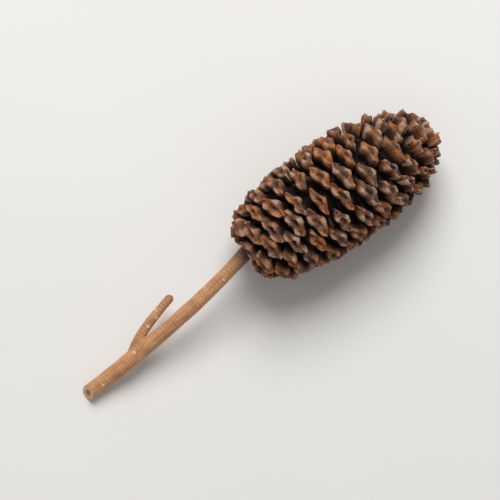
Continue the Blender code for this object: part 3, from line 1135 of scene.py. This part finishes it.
@dataclass(frozen=True)
class Stem:
    """The cone's stem with the stub of one side twig, grown together at the fork.

    Places are shares of the stem's length from the cone. Places on the twig are told from those
    on the stem by an offset along the shoot.
    """

    lie: Lie
    reach: float = 22.6
    aside: float = -0.14
    sink: float = 0.93
    cut_diameter: float = 1.7
    cone_diameter: float = 1.45
    leaving: Triple = (-0.30, -0.075, -0.02)
    arriving: Triple = (0.64, 0.865, 0.70)
    steps: int = 220
    flare: float = 0.10
    flare_reach: float = 0.06
    fork_place: float = 0.74
    fork_swelling: float = 0.13
    fork_swelling_reach: float = 0.045
    fork_blend: float = 0.55
    fork_length: float = 3.0
    twig_length: float = 8.2
    twig_diameter: float = 1.05
    twig_heading: Triple = (0.91, 0.40, 0.10)
    twig_leaving: Triple = (0.72, 0.68, 0.12)
    twig_arriving: Triple = (0.96, 0.27, 0.05)
    twig_taper: float = 0.26
    twig_rounding: float = 0.45
    twig_steps: int = 90
    twig_offset: float = 40.0
    in_collar: Pair = (0.65, 0.1)
    collar_steps: int = 6
    slant: Pair = (0.12, 0.90)
    facing_ramp: Pair = (0.80, 0.12)
    cut_length: float = 1.8
    core_ramp: Pair = (0.52, -0.16)
    growth_ring: Pair = (0.74, 0.05)
    bark_ramp: Pair = (0.84, 0.08)
    # How far the painted shade reaches along the stem from the cone.
    dark_reach: float = 2.3
    voxel: float = 0.055
    stem_around: int = 32
    twig_around: int = 24
    relaxing: tuple[int, float] = (6, 0.5)
    fork_relaxing: tuple[int, float] = (24, 0.8)
    ring_spacing: float = 0.38
    ring_height: float = 0.034
    ring_share: float = 0.62
    ring_wander: Waves = Waves(0.15, 1.6)
    ring_breaks: Waves = Waves(0.5, 1.2, 0.8)
    long_lines: Waves = Waves(0.012, 0.55, 0.16)
    lumps: Waves = Waves(0.022, 2.6, 0.5)
    cut_grain: Waves = Waves(0.012, 0.22)
    pore_count: int = 13
    pore_height: float = 0.045
    stem_pore_share: float = 0.8
    seed: int = 21

    @staticmethod
    def curve(knots: np.ndarray, shares: np.ndarray) -> np.ndarray:
        """Gives the points of the cubic Bezier curve with these four knots."""
        s, (a, b, c, d) = shares[:, None], knots
        return a * (1 - s) ** 3 + 3 * b * s * (1 - s) ** 2 + 3 * c * s**2 * (1 - s) + d * s**3

    def shoots(self) -> tuple[Shoot, Shoot]:
        """Lays out the stem and the twig.

        Returns:
            The stem from inside the collar to its cut end, and the twig from the fork.
        """
        start = self.lie.stem_start
        fall = self.sink * self.cut_diameter / 2 - start[2]
        end = np.array((-self.reach, self.aside * self.reach, fall))
        leaving = np.array(self.leaving) * self.reach
        knots = np.stack([np.zeros(3), leaving, end * self.arriving, end])
        shares = np.linspace(0, 1, self.steps)
        swelling = 1 + self.flare * near(shares / self.flare_reach)
        swelling += self.fork_swelling * near((shares - self.fork_place) / self.fork_swelling_reach)
        radii = (self.cone_diameter + (self.cut_diameter - self.cone_diameter) * shares) / 2 * swelling
        back = -unit(leaving) * np.linspace(*self.in_collar, self.collar_steps)[:, None]
        route = np.concatenate([back, self.curve(knots, shares)]) + start
        stem = Shoot.along(route, np.concatenate([np.full(self.collar_steps, radii[0]), radii]))

        fork = self.curve(knots, np.array([self.fork_place]))[0] + start
        headings = np.array((self.twig_heading, self.twig_leaving, self.twig_arriving))
        onward, away, home = unit(headings) * self.twig_length
        tip = fork + onward
        twig_knots = np.stack([fork, fork + away / 3, tip - home / 3, tip])
        shares = np.linspace(0, 1, self.twig_steps)
        to_tip = np.clip(self.twig_length * (1 - shares) / self.twig_rounding, 0.02, 1)
        radii = self.twig_diameter / 2 * (1 + self.twig_taper * (0.5 - shares))
        radii *= np.sqrt(1 - (1 - to_tip) ** 2)
        return stem, Shoot.along(self.curve(twig_knots, shares), radii)

    def build(self, material: bpy.types.Material) -> None:
        """Grows stem and twig together, roughens their bark and writes the piece.

        Args:
            material: The bark.
        """
        stem, twig = self.shoots()
        tubes = [stem.tube(self.stem_around, self.slant), twig.tube(self.twig_around)]
        skin = Shell.joined(tubes).united(self.voxel)
        ratio, reach, side, up = stem.measure(skin.points)
        twig_ratio, twig_reach, twig_side, twig_up = twig.measure(skin.points)
        on_twig = twig_ratio < ratio
        at_fork = near((ratio - twig_ratio) / self.fork_blend) * (twig_reach < self.fork_length)
        skin.relax(*self.relaxing)
        skin.relax(self.fork_relaxing[0], self.fork_relaxing[1] * at_fork)
        reach = np.where(on_twig, twig_reach + self.twig_offset, reach)
        side, up = np.where(on_twig, twig_side, side), np.where(on_twig, twig_up, up)
        grown, normals = np.stack([side, up, reach], axis=1), skin.normals()

        # The slanting cut: where the skin faces the way the cut does
        face = stem.headings[-1] - self.slant[0] * stem.sides[-1] + self.slant[1] * stem.ups[-1]
        by_end = (reach > stem.reach[-1] - self.cut_length) & ~on_twig
        cut = smooth(normals @ unit(face), *self.facing_ramp) * by_end
        rho = np.hypot(side, up) / (self.cut_diameter / 2)
        core, bark_edge = smooth(rho, *self.core_ramp), smooth(rho, *self.bark_ramp)
        growth_ring = near((rho - self.growth_ring[0]) / self.growth_ring[1])

        # Relief of bark and cut
        chance = np.random.default_rng(self.seed)
        turn = 2 * math.pi * (reach / self.ring_spacing + self.ring_wander.at(grown, chance))
        ridge = (0.5 - 0.5 * np.cos(turn)) ** 2
        ridge *= smooth(self.ring_share + self.ring_breaks.at(grown, chance))
        pore = self.pores(grown, stem.reach[-1], chance)
        relief = self.pore_height * pore - self.ring_height * ridge
        relief += self.long_lines.at(grown, chance) + self.lumps.at(grown, chance)
        raised = relief * (1 - cut) + self.cut_grain.at(grown, chance) * cut
        skin.points = held_up(skin.points + normals * raised[:, None])

        # Painted shade on the stem where it meets the cone; the twig gets its own darker tone and a darker
        # tip.
        by_cone = near(reach / self.dark_reach) * ~on_twig
        twig_tip = smooth(twig_reach, twig.reach[-1] - 0.9, 0.7) * on_twig
        skin.values = {
            "dark": np.clip(np.maximum(by_cone, 0.10 * on_twig + 0.42 * twig_tip), 0, 1),
            "pore": pore * (1 - cut),
            "cut": cut * (1 - 0.85 * bark_edge),
            "pith": np.maximum(core, 0.55 * growth_ring),
            "ridge": ridge * (1 - cut),
            "grown": grown,
        }
        skin.write("stem_bark", material, "twig_bark", "stem")

    def pores(self, grown: np.ndarray, length: float, chance: np.random.Generator) -> np.ndarray:
        """Raises small pores, longer across the shoot than along it.

        Args:
            grown: Places across and along the shoot.
            length: The stem's length.
            chance: Source of the pores' places and sizes.

        Returns:
            A mask, 1 on top of a pore.
        """
        stem_stretch, twig_stretch = (2.5, length - 1.5), (self.twig_offset + 2, self.twig_offset + 7)
        mask = np.zeros(len(grown))
        for _ in range(self.pore_count):
            on_stem = chance.uniform() < self.stem_pore_share
            reach = chance.uniform(*(stem_stretch if on_stem else twig_stretch))
            turn = chance.uniform(0, 2 * math.pi)
            across, along = chance.uniform(0.12, 0.20), chance.uniform(0.10, 0.16)
            radius = 0.8 if on_stem else 0.52
            centre = np.array((math.cos(turn) * radius, math.sin(turn) * radius, reach))
            distance = np.linalg.norm((grown - centre) / (across, across, along), axis=1)
            mask = np.maximum(mask, smooth(1.6 - distance))
        return mask


@dataclass(frozen=True)
class Studio:
    """Pale ground, one large soft light and the camera, straight above as in the photograph.

    Sizes here are in metres.
    """

    paper: PlainPaper = PlainPaper()
    ground_size: float = 3.0
    camera_height: float = 0.32
    field_width: float = 0.0535
    clipping: Pair = (0.01, 10)
    object_turn: float = math.radians(33.5)
    sensor: float = 36.0
    light_height: float = math.radians(52)
    light_distance: float = 0.5
    light_size: float = 0.30
    light_power: float = 2.4
    sky_tone: Colour = (1.0, 0.985, 0.965, 1)
    sky: float = 0.34
    seen_sky: float = 0.80

    def build(self) -> None:
        """Sets up ground, light, sky and camera."""
        self.ground()
        self.light()
        self.surroundings()
        self.camera()
        bpy.context.scene.view_settings.view_transform = "Standard"

    def ground(self) -> None:
        """Lays the ground."""
        corners = np.array([(-1, -1, 0), (1, -1, 0), (1, 1, 0), (-1, 1, 0)]) * self.ground_size / 2
        ground = mesh_object("ground", corners, np.array([(0, 1, 2, 3)]))
        ground.data.materials.append(self.paper.material())

    def light(self) -> None:
        """Hangs the soft light on the side of the picture's top."""
        level = Vector((math.sin(self.object_turn), math.cos(self.object_turn), 0))
        towards = level * math.cos(self.light_height) + Vector((0, 0, math.sin(self.light_height)))
        data = bpy.data.lights.new("soft_light", "AREA")
        data.shape, data.size, data.energy = "DISK", self.light_size, self.light_power
        lamp = link(bpy.data.objects.new("soft_light", data))
        lamp.location = towards * self.light_distance
        lamp.rotation_euler = towards.to_track_quat("Z", "Y").to_euler()

    def surroundings(self) -> None:
        """Fills the room with even pale light."""
        world = bpy.data.worlds.new("room")
        world.use_nodes = True
        world.node_tree.nodes.clear()
        sheet = Sheet(world.node_tree)
        seen = sheet.add("ShaderNodeLightPath").outputs["Is Camera Ray"]
        brightness = sheet.times(seen, self.seen_sky - self.sky, self.sky)
        sky = sheet.add("ShaderNodeBackground", {"Color": self.sky_tone, "Strength": brightness})
        sheet.add("ShaderNodeOutputWorld", {"Surface": sky.outputs[0]})
        bpy.context.scene.world = world

    def camera(self) -> None:
        """Points the camera straight down, with the cone rising to the upper right."""
        data = bpy.data.cameras.new("camera")
        data.sensor_width = self.sensor
        data.lens = self.sensor * self.camera_height / self.field_width
        data.clip_start, data.clip_end = self.clipping
        camera = link(bpy.data.objects.new("camera", data))
        camera.location = (0, 0, self.camera_height)
        camera.rotation_euler = (0, 0, -self.object_turn)
        bpy.context.scene.camera = camera


def main() -> None:
    """Builds the cone, its stem and the studio."""
    logging.basicConfig(level=logging.INFO, format="%(name)s: %(message)s")
    growth = Growth()
    lie = Lie.from_frame(growth)
    wood, bark = ScaleWood().material(), TwigBark().material()
    ConeAxis(growth, lie).build(wood)
    ConeScales(growth, lie).build(wood)
    Stem(lie).build(bark)
    Studio().build()


if __name__ == "__main__":
    main()
